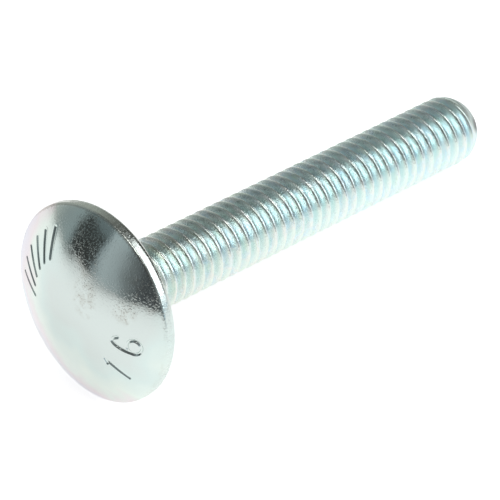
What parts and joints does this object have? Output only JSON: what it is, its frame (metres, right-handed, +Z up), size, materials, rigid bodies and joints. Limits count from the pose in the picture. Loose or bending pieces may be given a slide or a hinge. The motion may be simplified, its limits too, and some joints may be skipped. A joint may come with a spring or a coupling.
{
  "type": "carriage bolt",
  "caption": "Domed-head carriage bolt with a square neck under the head and a threaded shank with a rounded point, lying on its side.",
  "frame": {"origin": "bottom centre of the bolt's box as it lies on its side, on the surface that it rests on", "axes": "+X from the head to the point, along the bolt seen from above; +Z up; the bolt's own axis lies in the XZ plane and falls 7.74 degrees towards the point, because the rim of the head and the point both touch the surface"},
  "size_m": [0.0442, 0.0164, 0.0163],
  "materials": {
    "zinc_plated_steel": "bright zinc plate with a clear blue passivate"
  },
  "bodies": {
    "root": {"carriage_bolt": "zinc_plated_steel"}
  },
  "joints": []
}
